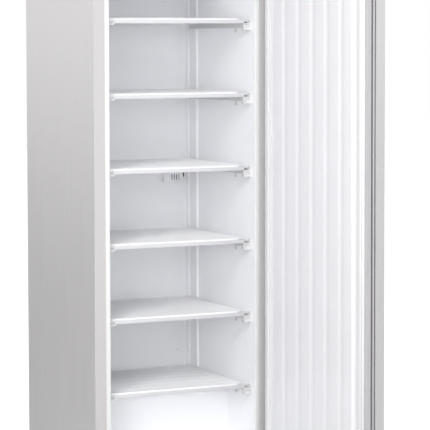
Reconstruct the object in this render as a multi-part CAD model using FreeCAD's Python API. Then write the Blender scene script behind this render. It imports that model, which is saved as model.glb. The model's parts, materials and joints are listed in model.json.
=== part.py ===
import FreeCAD, Part
import math
from FreeCAD import Vector

# Upright freezer with its door open. Millimetres. X runs across the front, Y from the door
# towards the back, Z up from the floor. Everything is drawn with the front left corner of
# the cabinet at X 0, Y 0 and then moved so that the origin is under the middle of the box.

# cabinet shell
cabinet_width = 600.0
cabinet_depth = 560.0
cabinet_height = 1850.0
floor_clearance = 30.0
sheet = 0.8
bend_radius = 1.6
corner_room = 3.2
flange_width = 36.5
rear_return = 14.0

# opening, trim and liner
trim_width = 15.0
trim_thickness = 3.0
trim_corner = 10.0
liner_floor = 110.0
ceiling_insulation = 144.0
liner_wall = 2.0
back_insulation = 58.0
hump_depth = 312.0
hump_top = 320.0
hump_fillet = 14.0
hump_insulation = 53.0
back_corner_fillet = 10.0
bead_radius = 6.0
bead_sides = 12
bead_setbacks = (87.0, 22.0)

# evaporator shelves
shelf_count = 6
shelf_above_hump = 32.0
top_compartment = 199.0
shelf_left_gap = 29.0
shelf_right_gap = 24.0
shelf_front = 28.0
shelf_rear_gap = 46.0
strip_height = 11.5
strip_thickness = 3.0
strip_lip = 18.0
strip_lip_thickness = 2.0
strip_lip_rise = 5.5
tube_radius = 4.0
tube_passes = 8
tube_behind_strip = 5.0
return_tube_offset = 24.5
tail_drop = 22.0
tail_spacing = 16.0
short_tail_side = 215.0
long_tail_side = 120.0
tube_sides = 8
bend_steps = 4
wire_size = 2.0
wire_pitch = 11.0
first_wire_side = 4.0
rail_width = 27.0
rail_thickness = 2.5
rail_height = 22.0
rail_behind_shelf = 14.0
tab_back = 131.0
tab_width = 12.0
tab_drop = 14.0
clip_depth = 20.0
clip_rise = 6.0
left_clip_height = 17.5
right_clip_height = 21.0
right_clip_width = 25.0
clip_plate = 3.0
clip_rim = 4.5
clip_overhang = 3.0
clip_pocket = 6.0
rear_clip_width = 16.0
rear_clip_height = 6.5
rear_clip_reach = 30.0

# things on the back wall of the liner
probe_cover_side_gap = 18.5
probe_cover_width = 70.0
probe_shelf = 4
probe_below_shelf = 38.0
probe_cover_height = 30.0
probe_cover_depth = 12.0
probe_cover_wall = 1.5
probe_slots = 4
probe_slot_width = 3.0
probe_slot_pitch = 8.6
probe_slot_margin = 6.0
probe_first_slot = 14.0
probe_boss_radius = 5.0
probe_boss_sides = 12
probe_boss_side = 21.0
probe_cable_radius = 2.0
probe_cable_reach = 5.0
plug_radius = 10.0
plug_sides = 24
plug_thickness = 3.0
plug_side = 82.0
plug_above_shelf = 63.0

# door
door_thickness = 63.0
door_gap = 14.0
door_bottom = 98.0
cap_thickness = 14.0
inner_return = 12.0
door_liner_wall = 2.0
field_side = 60.0
field_end = 62.0
field_height = 16.0
field_draft = 6.0
groove_count = 5
groove_pitch = 84.3
groove_width = 34.0
groove_depth = 5.0
groove_draft = 3.0
gasket_inset = 9.0
gasket_width = 25.0
gasket_clearance = 0.3
gasket_foot = 2.0
pocket_side = 3.0
pocket_width = 18.0
waist_width = 9.5
waist_height = 5.5
fold_rise = 2.5
inner_band = 17.0
grip_width = 14.0
grip_depth = 14.0
grip_sheet = 1.2
seam = 0.3
open_angle = 91.0

# hinges
hinge_side = 7.0
hinge_front = 26.0
hinge_gap = 3.0
hinge_plate = 4.0
hinge_leg_width = 44.0
hinge_leg_height = 44.0
hinge_leg_inset = 2.0
hinge_nose = 16.0
pin_radius = 4.0
pin_length = 15.0
bush_clearance = 0.05
bush_wall = 1.5
bush_flange = 7.0
bush_length = 12.0
bush_seat_clearance = 0.03
thrust_clearance = 0.3
screw_head_radius = 4.5
screw_head_height = 2.2
screw_rows = (12.0, 32.0)

# fascia and controller
fascia_height = 98.0
fascia_gap = 10.0
fascia_wall = 1.0
controller_width = 96.0
controller_height = 40.0
controller_depth = 24.0
controller_side = 150.0
bezel_rim = 4.0
bezel_proud = 2.0
display_width = 44.0
display_height = 22.0
display_left = 8.0
display_recess = 0.6
button_count = 3
button_size = 8.0
button_pitch = 13.0
button_proud = 1.4
button_length = 7.0
button_clearance = 0.3
button_travel = 1.0
button_offset = 66.0

# base, machine compartment and plinth
base_sheet = 1.2
base_rear_lip = 18.0
grille_left = 24.0
grille_right = 60.0
grille_low = 34.0
grille_high = 86.0
grille_thickness = 10.0
grille_rows = 5
grille_columns = 4
grille_slot_height = 4.5
grille_rib = 12.0
rear_slot_rows = 8
rear_slot_columns = 5
rear_slot_height = 5.0
compressor_radius = 78.0
compressor_height = 150.0
belt_proud = 4.0
belt_height = 78.0
belt_width = 7.0
shell_sides = 24
shell_foot_radius = 56.0
shell_crown_radius = 39.0
shell_shoulder = 22.0
compressor_side = 200.0
compressor_back = 130.0
mount_radius = 11.0
mount_height = 16.0
mount_spread = 62.0
plate_margin = 15.0
foot_plate = 3.0
terminal_size = (60.0, 40.0, 70.0)
terminal_height = 45.0
drier_gap = 47.0
drier_radius = 12.0
drier_neck = 4.2
drier_cone = 16.0
drier_sides = 12
drier_length = 110.0
pipe_radius = 4.0
pipe_bend = 16.0
capillary_radius = 3.2

# condenser on the back
condenser_above_compartment = 63.0
condenser_headroom = 376.0
condenser_passes = 14
condenser_side = 60.0
condenser_stand = 18.0
condenser_tube_radius = 3.0
condenser_wire = 1.6
condenser_wires = 19
condenser_wire_tail = 9.0
bracket_sheet = 1.5
bracket_width = 30.0
bracket_foot = 20.0

# feet and rollers
foot_side = 60.0
foot_back = 60.0
foot_radius = 18.0
foot_sides = 24
foot_height = 10.0
stem_radius = 5.0
stem_clearance = 0.3
stem_top = 62.0
nut_radius = 10.0
nut_clearance = 0.2
nut_height = 16.0
roller_side = 70.0
roller_back = 60.0
roller_radius = 13.0
roller_width = 18.0
axle_radius = 4.0
axle_clearance = 0.05
roller_side_gap = 1.0
ear_thickness = 2.0
ear_reach = 9.0

# places worked out from the sizes above
opening_side = flange_width + trim_width
liner_back = cabinet_depth - back_insulation
liner_ceiling = cabinet_height - ceiling_insulation
hump_front = liner_back - hump_depth
shelf_back = liner_back - shelf_rear_gap
lowest_shelf = hump_top + shelf_above_hump
shelf_pitch = (liner_ceiling - top_compartment - lowest_shelf) / (shelf_count - 1)
trim_low = liner_floor - trim_width
trim_high = liner_ceiling + trim_width
foam_low = floor_clearance + base_sheet
foam_back = cabinet_depth - 2 * sheet
foot_well_top = floor_clearance + stem_top
compartment_front = hump_front + hump_insulation
compartment_top = hump_top - hump_insulation
deck_left = opening_side + shelf_left_gap
deck_right = cabinet_width - opening_side - shelf_right_gap
strip_low = -strip_height / 2
lip_low = strip_low + strip_lip_rise
ledge_level = lip_low + strip_lip_thickness
tube_level = ledge_level + tube_radius
wire_level = tube_level + tube_radius
door_face = -door_gap - door_thickness
fascia_low = cabinet_height - fascia_height
door_top = fascia_low - fascia_gap
channel_back = -door_gap - inner_band
channel_front = channel_back - grip_width
hinge_x = cabinet_width - hinge_side
hinge_y = -hinge_front
hinge_point = Vector(hinge_x, hinge_y, 0)
plinth_leg_top = door_bottom - hinge_gap
top_leg_low = door_top + hinge_gap
controller_left = cabinet_width - controller_side - controller_width
controller_low = (fascia_low + cabinet_height - controller_height) / 2
condenser_low = compartment_top + condenser_above_compartment
condenser_top = cabinet_height - condenser_headroom
condenser_pitch = (condenser_top - condenser_low) / (condenser_passes - 1)
up = Vector(0, 0, 1)
rightward = Vector(1, 0, 0)
backward = Vector(0, 1, 0)
shapes = {}


def box(low, high):
    size = [b - a for a, b in zip(low, high)]
    return Part.makeBox(size[0], size[1], size[2], Vector(*low))


def face_xy(points, z=0.0):
    corners = [Vector(x, y, z) for x, y in points]
    return Part.Face(Part.makePolygon(corners + corners[:1]))


def face_yz(points, x=0.0):
    corners = [Vector(x, y, z) for y, z in points]
    return Part.Face(Part.makePolygon(corners + corners[:1]))


def face_xz(points, y=0.0):
    corners = [Vector(x, y, z) for x, z in points]
    return Part.Face(Part.makePolygon(corners + corners[:1]))


def joined(solids):
    result = solids[0]
    if len(solids) > 1:
        result = result.fuse(solids[1:])
    return result.removeSplitter()


def mirrored(shape):
    return shape.mirror(Vector(cabinet_width / 2, 0, 0), Vector(1, 0, 0))


def group(solids):
    return Part.makeCompound(solids)


def edges_along(shape, axis, test):
    """Straight edges parallel to the axis whose middle passes the test."""
    found = []
    for edge in shape.Edges:
        if len(edge.Vertexes) != 2:
            continue
        start, end = edge.Vertexes[0].Point, edge.Vertexes[1].Point
        along = end - start
        if along.Length < 1e-6 or abs(along.normalize().dot(axis)) < 0.999:
            continue
        if test((start + end) * 0.5):
            found.append(edge)
    return found


def folded_section(points, thickness, radius):
    """A bent strip of sheet in the XY plane, along the middle line through the points."""
    middle = radius + thickness / 2
    sides = {1: [], -1: []}
    path = [Vector(x, y, 0) for x, y in points]

    def offset(point, direction, side):
        left = Vector(-direction.y, direction.x, 0)
        return point + left * (side * thickness / 2)

    start = path[0]
    for index in range(1, len(path) - 1):
        before = (path[index] - path[index - 1]).normalize()
        after = (path[index + 1] - path[index]).normalize()
        turn = before.x * after.y - before.y * after.x
        angle = math.acos(max(-1.0, min(1.0, before.dot(after))))
        tangent = middle * math.tan(angle / 2)
        enter = path[index] - before * tangent
        leave = path[index] + after * tangent
        inward = 1 if turn > 0 else -1
        centre = enter + Vector(-before.y, before.x, 0) * (inward * middle)
        halfway = (path[index] - centre).normalize()
        for side in (1, -1):
            reach = middle - inward * side * thickness / 2
            a = offset(enter, before, side)
            b = offset(leave, after, side)
            sides[side].append(Part.makeLine(offset(start, before, side), a))
            sides[side].append(Part.Arc(a, centre + halfway * reach, b).toShape())
        start = leave
    last = (path[-1] - path[-2]).normalize()
    first = (path[1] - path[0]).normalize()
    for side in (1, -1):
        sides[side].append(Part.makeLine(offset(start, last, side), offset(path[-1], last, side)))
    caps = [
        Part.makeLine(offset(path[0], first, 1), offset(path[0], first, -1)),
        Part.makeLine(offset(path[-1], last, 1), offset(path[-1], last, -1)),
    ]
    edges = Part.sortEdges(sides[1] + sides[-1] + caps)[0]
    return Part.Face(Part.Wire(edges))


def half_turn(middle, out, start, radius):
    """Points of a half circle that bulges outwards, from the start side to the far side."""
    points = []
    for step in range(bend_steps + 1):
        swing = math.pi * step / bend_steps
        points.append(middle + out * (radius * math.sin(swing)) + start * (radius * math.cos(swing)))
    return points


def rounded_route(points, radius, steps):
    """The route with each corner replaced by short chords of an arc."""
    route = [points[0]]
    for index in range(1, len(points) - 1):
        corner = points[index]
        before = (corner - points[index - 1]).normalize()
        after = (points[index + 1] - corner).normalize()
        angle = math.acos(max(-1.0, min(1.0, before.dot(after))))
        tangent = radius * math.tan(angle / 2)
        enter = corner - before * tangent
        inward = (after - before * before.dot(after)).normalize()
        centre = enter + inward * radius
        for step in range(steps + 1):
            swing = angle * step / steps
            arm = inward * (-math.cos(swing)) + before * math.sin(swing)
            route.append(centre + arm * radius)
    route.append(points[-1])
    return route


def flat_sided_tube(route, radius, top=up):
    """A tube drawn with flat sides, one of them facing the top direction."""
    along = (route[1] - route[0]).normalize()
    side = along.cross(top).normalize()
    rise = side.cross(along).normalize()
    half = math.pi / tube_sides
    reach = radius / math.cos(half)
    corners = []
    for index in range(tube_sides):
        angle = half * (2 * index + 1)
        arm = side * math.cos(angle) + rise * math.sin(angle)
        corners.append(route[0] + arm * reach)
    profile = Part.makePolygon(corners + corners[:1])
    path = Part.makePolygon(route)
    return path.makePipeShell([profile], True, False, 1)


def many_sided(x, y, outline, sides):
    """A turned form drawn with flat sides, from the radius and height of its outline."""
    rings = [ring(x, y, radius, z, sides) for radius, z in outline]
    faces = [Part.Face(rings[0]), Part.Face(rings[-1])]
    for low, high in zip(rings, rings[1:]):
        for index in range(sides):
            near, far = low.Edges[index], high.Edges[index]
            corners = [near.Vertexes[0].Point, near.Vertexes[1].Point]
            corners += [far.Vertexes[1].Point, far.Vertexes[0].Point]
            faces.append(Part.Face(Part.makePolygon(corners + corners[:1])))
    return Part.Solid(Part.Shell(faces))


def shelf_levels():
    return [lowest_shelf + shelf_pitch * index for index in reversed(range(shelf_count))]


def side_panels():
    half = sheet / 2
    line = [
        (flange_width, half),
        (half, half),
        (half, cabinet_depth - half),
        (rear_return, cabinet_depth - half),
    ]
    section = folded_section(line, sheet, bend_radius)
    section.translate(Vector(0, 0, floor_clearance))
    left = section.extrude(Vector(0, 0, cabinet_height - floor_clearance))
    shapes["left_side_panel"] = left
    shapes["right_side_panel"] = mirrored(left)


def flat_panels():
    across = (sheet, cabinet_width - sheet)
    between_bends = (sheet + bend_radius, cabinet_width - sheet - bend_radius)
    shapes["top_panel"] = box(
        (across[0], sheet, cabinet_height - sheet), (across[1], cabinet_depth - sheet, cabinet_height)
    )
    shapes["back_panel"] = box(
        (between_bends[0], foam_back, compartment_top),
        (between_bends[1], cabinet_depth - sheet, cabinet_height - sheet),
    )
    shapes["front_lintel"] = box(
        (flange_width, 0, trim_high), (cabinet_width - flange_width, sheet, cabinet_height)
    )
    shapes["front_sill"] = box(
        (flange_width, 0, floor_clearance), (cabinet_width - flange_width, sheet, trim_low)
    )


def opening_frame():
    """The white frame around the opening, between the metal and the liner."""
    outer = box((flange_width, 0, trim_low), (cabinet_width - flange_width, trim_thickness, trim_high))
    inner = box(
        (opening_side, -1, liner_floor),
        (cabinet_width - opening_side, trim_thickness + 1, liner_ceiling),
    )
    inner = inner.makeFillet(trim_corner, edges_along(inner, Vector(0, 1, 0), lambda p: True))
    border = outer.cut(inner)
    half_opening = cabinet_width / 2 - opening_side
    sides = edges_along(
        border, up, lambda p: p.y < 0.1 and abs(abs(p.x - cabinet_width / 2) - half_opening) < 0.1
    )
    shapes["opening_trim"] = border.makeChamfer(trim_thickness / 3, sides)


def side_profile(grow, front):
    """Side view of the cavity, hump included, grown outwards by the given amount."""
    back = liner_back + grow
    return [
        (front, liner_floor - grow),
        (hump_front + grow, liner_floor - grow),
        (hump_front + grow, hump_top - grow),
        (back, hump_top - grow),
        (back, liner_ceiling + grow),
        (front, liner_ceiling + grow),
    ]


def liner():
    left = opening_side
    right = cabinet_width - opening_side
    outer = face_yz(side_profile(liner_wall, trim_thickness), left - liner_wall)
    outer = outer.extrude(Vector(right - left + 2 * liner_wall, 0, 0))
    hump_edge = edges_along(
        outer, rightward, lambda p: abs(p.y - hump_front - liner_wall) < 0.1 and p.z > hump_top - hump_fillet
    )
    outer = outer.makeFillet(hump_fillet - liner_wall, hump_edge)
    cavity = face_yz(side_profile(0, 0), left).extrude(Vector(right - left, 0, 0))
    hump_edges = edges_along(cavity, Vector(1, 0, 0), lambda p: abs(p.y - hump_front) < 0.1)
    cavity = cavity.makeFillet(hump_fillet, hump_edges)
    corners = edges_along(cavity, up, lambda p: abs(p.y - liner_back) < 0.1)
    corners += edges_along(cavity, Vector(1, 0, 0), lambda p: abs(p.y - liner_back) < 0.1)
    cavity = cavity.makeFillet(back_corner_fillet, corners)
    levels = shelf_levels()
    tops = [liner_ceiling - back_corner_fillet] + [z - rail_height for z in levels[:-1]]
    for low, high in zip(levels, tops):
        start = low + rail_height / 2
        for y in [liner_back - setback for setback in bead_setbacks]:
            for x in (left, right):
                cavity = cavity.cut(prism(x, y, bead_radius, start, high, bead_sides))
    shapes["inner_liner"] = outer.cut(cavity)
    return outer


def foam(liner_outer):
    block = box(
        (sheet, sheet, foam_low), (cabinet_width - sheet, foam_back, cabinet_height - sheet)
    )
    block = block.makeFillet(corner_room, edges_along(block, up, lambda p: True))
    compartment = box(
        (0, compartment_front, 0), (cabinet_width, cabinet_depth, compartment_top)
    )
    frame = box(
        (flange_width, 0, trim_low), (cabinet_width - flange_width, trim_thickness, trim_high)
    )
    cuts = [liner_outer, compartment, frame]
    for x in (foot_side, cabinet_width - foot_side):
        cuts.append(prism(x, foot_back, nut_radius, floor_clearance, foot_well_top, foot_sides))
    shapes["foam_insulation"] = block.cut(cuts)


def evaporator_tube():
    """One shelf's tube: eight passes, with both ends led back to the rear wall."""
    first = shelf_back - tube_radius - wire_size
    last = shelf_front + strip_thickness + tube_behind_strip + tube_radius
    pitch = (first - last) / (tube_passes - 1)
    left = deck_left + tube_radius * 3
    right = deck_right - tube_radius
    bend = pitch / 2
    long_y = first + tail_drop
    short_y = long_y + tail_spacing
    long_x = cabinet_width - long_tail_side
    short_x = cabinet_width - short_tail_side
    return_x = opening_side + return_tube_offset - tube_radius
    tail = [
        Vector(long_x, liner_back, 0), Vector(long_x, long_y, 0), Vector(left + bend, long_y, 0),
    ]
    route = rounded_route(tail, tail_drop / 2, bend_steps // 2)[:-1]
    turn = Vector(left + bend, (long_y + first) / 2, 0)
    route += half_turn(turn, -rightward, backward, tail_drop / 2)
    for index in range(1, tube_passes):
        y = first - pitch * (index - 0.5)
        if index % 2:
            route += half_turn(Vector(right - bend, y, 0), rightward, backward, bend)
        else:
            route += half_turn(Vector(left + bend, y, 0), -rightward, backward, bend)
    ending = [
        route[-1],
        Vector(return_x, last, 0),
        Vector(return_x, short_y, 0),
        Vector(short_x, short_y, 0),
        Vector(short_x, liner_back, 0),
    ]
    route += rounded_route(ending, tail_drop / 2, bend_steps // 2)[1:]
    return flat_sided_tube(route, tube_radius)


def shelves():
    tube = evaporator_tube()
    wire_start = shelf_front + strip_thickness + tube_radius
    last_wire = deck_right - tube_radius / 2
    count = int((last_wire - deck_left - first_wire_side - 2 * tube_radius) / wire_pitch) + 1
    strip_points = [
        (shelf_front, strip_low),
        (shelf_front + strip_thickness, strip_low),
        (shelf_front + strip_thickness, lip_low),
        (shelf_front + strip_lip, lip_low),
        (shelf_front + strip_lip, ledge_level),
        (shelf_front + strip_thickness, ledge_level),
        (shelf_front + strip_thickness, -strip_low),
        (shelf_front, -strip_low),
    ]
    strip = face_yz(strip_points, deck_left).extrude(Vector(deck_right - deck_left, 0, 0))
    wires = []
    strips = []
    for number, level in enumerate(shelf_levels(), start=1):
        lift = Vector(0, 0, level)
        shapes["evaporator_tube_%d" % number] = tube.translated(lift + up * tube_level)
        strips.append(strip.translated(lift))
        for index in range(count):
            x = last_wire - index * wire_pitch
            low = (x - wire_size / 2, wire_start, level + wire_level)
            high = (x + wire_size / 2, shelf_back, level + wire_level + wire_size)
            wires.append(box(low, high))
    shapes["deck_wires"] = group(wires)
    shapes["shelf_front_strips"] = group(strips)


def shelf_fixings():
    """Rails, front clips and rear clips that carry the shelves on the side walls."""
    wall = opening_side
    front = shelf_front - clip_overhang
    rear = front + clip_depth
    rail_start = shelf_front + strip_lip + seam
    rail_end = shelf_back + rail_behind_shelf
    rail_low = ledge_level - rail_height
    rail_points = [
        (wall, rail_low),
        (wall + rail_thickness, rail_low),
        (wall + rail_thickness, ledge_level - rail_thickness),
        (wall + rail_width, ledge_level - rail_thickness),
        (wall + rail_width, ledge_level),
        (wall, ledge_level),
    ]
    rail = face_xz(rail_points, rail_start).extrude(Vector(0, rail_end - rail_start, 0))
    tab = box(
        (wall, tab_back - tab_width / 2, rail_low - tab_drop),
        (wall + rail_thickness, tab_back + tab_width / 2, rail_low),
    )
    rail = joined([rail, tab])

    left_low = clip_rise - left_clip_height
    left_clip = box((wall, front, left_low), (deck_left, rear, clip_rise))
    left_pocket = box(
        (wall + clip_pocket, front - 1, left_low + clip_rim),
        (deck_left - clip_rim, front + clip_pocket, clip_rise - clip_rim),
    )
    first_pass = shelf_front + strip_thickness + tube_behind_strip
    tube_seat = box(
        (wall + return_tube_offset - 2 * tube_radius - seam, first_pass - seam, ledge_level),
        (deck_left + 1, rear + 1, clip_rise + 1),
    )
    left_clip = left_clip.cut([left_pocket, tube_seat])
    front_edge = edges_along(
        left_clip, rightward, lambda p: p.z > clip_rise - 0.1 and p.y < front + 0.1
    )
    left_clip = left_clip.makeFillet(rail_thickness, front_edge)

    right_low = strip_low - right_clip_height
    bracket = box((wall, front, right_low), (wall + right_clip_width, rear, strip_low))
    plate = box((wall, front, strip_low), (wall + clip_plate, rear, clip_rise))
    right_pocket = box(
        (wall + clip_pocket, front - 1, right_low + clip_rim),
        (wall + right_clip_width - clip_plate, front + clip_pocket, strip_low - clip_plate),
    )
    right_clip = joined([bracket, plate]).cut(right_pocket)

    rear_y = liner_back - bead_setbacks[0]
    rear_top = ledge_level - rail_thickness
    rear_clip = box(
        (wall + rail_thickness, rear_y - rear_clip_width / 2, rear_top - rear_clip_height),
        (wall + rear_clip_reach, rear_y + rear_clip_width / 2, rear_top),
    )
    rails = []
    left_clips = []
    right_clips = []
    rear_clips = []
    for level in shelf_levels():
        lift = Vector(0, 0, level)
        for piece, store in ((rail, rails), (rear_clip, rear_clips)):
            store.append(piece.translated(lift))
            store.append(mirrored(piece).translated(lift))
        left_clips.append(left_clip.translated(lift))
        right_clips.append(mirrored(right_clip).translated(lift))
    shapes["side_rails"] = group(rails)
    shapes["left_front_clips"] = group(left_clips)
    shapes["right_front_clips"] = group(right_clips)
    shapes["rear_clips"] = group(rear_clips)


def back_wall_fittings():
    """Probe cover with its cable, under the right end of a shelf, and the blind plug."""
    wall = probe_cover_wall
    front = liner_back - probe_cover_depth
    high = lowest_shelf + shelf_pitch * (probe_shelf - 1) - probe_below_shelf
    low = high - probe_cover_height
    right = cabinet_width - opening_side - probe_cover_side_gap
    left = right - probe_cover_width
    shell = box((left, front, low), (right, liner_back, high))
    shell = shell.makeFillet(bend_radius, edges_along(shell, backward, lambda p: True))
    cuts = [box((left + wall, front + wall, low + wall), (right - wall, liner_back + 1, high - wall))]
    for index in range(probe_slots):
        x = right - probe_first_slot - probe_slot_pitch * index
        near = (x - probe_slot_width / 2, front - 1, low + probe_slot_margin)
        far = (x + probe_slot_width / 2, liner_back, high - probe_slot_margin)
        cuts.append(box(near, far))
    middle = (low + high) / 2
    boss = prism(0, 0, probe_boss_radius, -wall, wall, probe_boss_sides)
    boss.rotate(Vector(0, 0, 0), rightward, 90)
    boss.translate(Vector(left + probe_boss_side, front, middle))
    shapes["probe_cover"] = joined([shell.cut(cuts), boss])

    cable_x = right + probe_cable_reach
    cable_y = liner_back - probe_cover_depth / 2
    route = [
        Vector(right, cable_y, middle), Vector(cable_x, cable_y, middle),
        Vector(cable_x, cable_y, high), Vector(cable_x, liner_back, high),
    ]
    turns = rounded_route(route, 2 * probe_cable_radius, bend_steps // 2)
    shapes["probe_cable"] = flat_sided_tube(turns, probe_cable_radius)

    plug_x = cabinet_width - plug_side
    plug_z = lowest_shelf + plug_above_shelf
    rim = plug_thickness / 3
    plug = many_sided(0, 0, [
        (plug_radius, 0), (plug_radius, plug_thickness - rim), (plug_radius - rim, plug_thickness),
    ], plug_sides)
    plug.rotate(Vector(0, 0, 0), rightward, 90)
    shapes["wall_plug"] = plug.translated(Vector(plug_x, liner_back, plug_z))


def base_and_grilles():
    """Base pan, front plinth grille and rear cover of the machine compartment."""
    half = base_sheet / 2
    line = [
        (sheet, floor_clearance + half),
        (foam_back - half, floor_clearance + half),
        (foam_back - half, floor_clearance + base_rear_lip),
    ]
    section = folded_section(line, base_sheet, bend_radius)
    section.rotate(Vector(0, 0, 0), Vector(1, 1, 1), 120)
    pan = section.extrude(Vector(cabinet_width - 2 * sheet, 0, 0))
    pan.translate(Vector(sheet, 0, 0))
    holes = []
    hole_radius = stem_radius + 2 * stem_clearance
    for x in (foot_side, cabinet_width - foot_side):
        holes.append(prism(x, foot_back, hole_radius, 0, foot_well_top, foot_sides))
    shapes["base_pan"] = pan.cut(holes)

    right = cabinet_width - grille_right
    plate = box((grille_left, -grille_thickness, grille_low), (right, 0, grille_high))
    front_edges = edges_along(plate, Vector(1, 0, 0), lambda p: p.y < -grille_thickness + 0.1)
    plate = plate.makeChamfer(grille_thickness / 4, front_edges)
    slots = slot_pattern(
        (grille_left, grille_low), (right, grille_high), grille_rows, grille_columns, grille_slot_height
    )
    cuts = [s.extrude(Vector(0, grille_thickness + 2, 0)) for s in slots]
    for cut in cuts:
        cut.translate(Vector(0, -grille_thickness - 1, 0))
    shapes["plinth_grille"] = plate.cut(cuts)

    low = floor_clearance + base_rear_lip
    cover = box(
        (rear_return / 2, foam_back, low),
        (cabinet_width - rear_return / 2, cabinet_depth - sheet, compartment_top),
    )
    slots = slot_pattern(
        (rear_return, low), (cabinet_width - rear_return, compartment_top),
        rear_slot_rows, rear_slot_columns, rear_slot_height,
    )
    cuts = [s.extrude(Vector(0, 4 * sheet, 0)) for s in slots]
    for cut in cuts:
        cut.translate(Vector(0, foam_back - sheet, 0))
    shapes["rear_grille"] = cover.cut(cuts)


def slot_pattern(low, high, rows, columns, slot_height):
    """Level slots between the two corners, in rows and columns with a rib between columns."""
    width = (high[0] - low[0] - grille_rib * (columns + 1)) / columns
    pitch = (high[1] - low[1]) / (rows + 1)
    faces = []
    for row in range(rows):
        z = low[1] + pitch * (row + 1)
        for column in range(columns):
            x = low[0] + grille_rib + column * (width + grille_rib)
            corners = [
                (x, z - slot_height / 2),
                (x + width, z - slot_height / 2),
                (x + width, z + slot_height / 2),
                (x, z + slot_height / 2),
            ]
            faces.append(face_xz(corners))
    return faces


def machine():
    """Compressor, its mounts and the pipework in the compartment behind the base."""
    floor = floor_clearance + base_sheet
    centre_x = compressor_side
    centre_y = cabinet_depth - compressor_back
    mounts = []
    for x in (centre_x - mount_spread, centre_x + mount_spread):
        for y in (centre_y - mount_spread, centre_y + mount_spread):
            mounts.append(prism(x, y, mount_radius, floor, floor + mount_height, 8))
    shapes["compressor_mounts"] = group(mounts)
    plate_low = floor + mount_height
    low = plate_low + foot_plate
    high = low + compressor_height
    half = mount_spread + plate_margin
    plate = box(
        (centre_x - half, centre_y - half, plate_low), (centre_x + half, centre_y + half, low)
    )
    belt = compressor_radius + belt_proud
    belt_low = low + belt_height
    belt_high = belt_low + belt_width
    shell = many_sided(centre_x, centre_y, [
        (shell_foot_radius, low), (compressor_radius, low + shell_shoulder),
        (compressor_radius, belt_low), (belt, belt_low), (belt, belt_high),
        (compressor_radius, belt_high), (compressor_radius, high - shell_shoulder),
        (shell_crown_radius, high),
    ], shell_sides)
    shapes["compressor"] = joined([plate, shell])

    width, depth, height = terminal_size
    terminal_x = centre_x + belt * math.cos(math.pi / shell_sides)
    terminal_low = low + terminal_height
    terminal = box(
        (terminal_x, centre_y - depth / 2, terminal_low),
        (terminal_x + width, centre_y + depth / 2, terminal_low + height),
    )
    sides = edges_along(terminal, rightward, lambda p: True)
    shapes["terminal_box"] = terminal.makeChamfer(bend_radius * 2, sides)

    drier_x = terminal_x + width + drier_gap + drier_radius
    drier_low = floor + 2 * pipe_radius
    drier_top = drier_low + drier_length
    shapes["filter_drier"] = many_sided(drier_x, centre_y, [
        (drier_neck, drier_low), (drier_radius, drier_low + drier_cone),
        (drier_radius, drier_top - drier_cone), (drier_neck, drier_top),
    ], drier_sides)

    exit_z = compartment_top - pipe_bend
    pipes = []
    for x, start in ((drier_x, drier_top), (centre_x, high)):
        run = [
            Vector(x, centre_y, start), Vector(x, centre_y, exit_z), Vector(x, compartment_front, exit_z),
        ]
        route = rounded_route(run, pipe_bend, bend_steps // 2)
        pipes.append(flat_sided_tube(route, pipe_radius, rightward))
    capillary = [Vector(drier_x, centre_y, drier_low), Vector(drier_x, centre_y, floor)]
    pipes.append(flat_sided_tube(capillary, capillary_radius, rightward))
    shapes["refrigerant_pipes"] = group(pipes)


def ring(x, y, radius, z, sides):
    corners = []
    for index in range(sides):
        angle = 2 * math.pi * (index + 0.5) / sides
        corners.append(Vector(x + radius * math.cos(angle), y + radius * math.sin(angle), z))
    return Part.makePolygon(corners + corners[:1])


def prism(x, y, radius, low, high, sides):
    return Part.Face(ring(x, y, radius, low, sides)).extrude(Vector(0, 0, high - low))


def condenser():
    """Wire and tube condenser that stands off the back panel on four brackets."""
    y = cabinet_depth + condenser_stand
    left = condenser_side
    right = cabinet_width - condenser_side
    bend = condenser_pitch / 2
    route = [Vector(left, y, condenser_low)]
    for index in range(condenser_passes - 1):
        z = condenser_low + condenser_pitch * (index + 0.5)
        if index % 2:
            route += half_turn(Vector(left + bend, y, z), -rightward, -up, bend)
        else:
            route += half_turn(Vector(right - bend, y, z), rightward, -up, bend)
    route.append(Vector(right if condenser_passes % 2 else left, y, condenser_top))
    shapes["condenser_tube"] = flat_sided_tube(route, condenser_tube_radius, backward)

    wire_y = y + condenser_tube_radius
    spread = right - left - 2 * bend
    wires = []
    for index in range(condenser_wires):
        x = left + bend + spread * index / (condenser_wires - 1)
        low = (x - condenser_wire / 2, wire_y, condenser_low - condenser_wire_tail)
        high = (x + condenser_wire / 2, wire_y + condenser_wire, condenser_top + condenser_wire_tail)
        wires.append(box(low, high))
    shapes["condenser_wires"] = group(wires)

    inner_y = cabinet_depth - sheet
    stand = y - condenser_tube_radius
    half = bracket_sheet / 2
    line = [
        (0, inner_y + half), (bracket_foot, inner_y + half),
        (bracket_foot, stand - half), (2 * bracket_foot, stand - half),
    ]
    foot = folded_section(line, bracket_sheet, bend_radius)
    brackets = []
    for pass_number in (1, condenser_passes - 2):
        z = condenser_low + condenser_pitch * pass_number - bracket_width / 2
        piece = foot.extrude(Vector(0, 0, bracket_width))
        piece.translate(Vector(left + 2 * bracket_foot, 0, z))
        brackets.append(piece)
        brackets.append(mirrored(piece))
    shapes["condenser_brackets"] = group(brackets)


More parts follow.
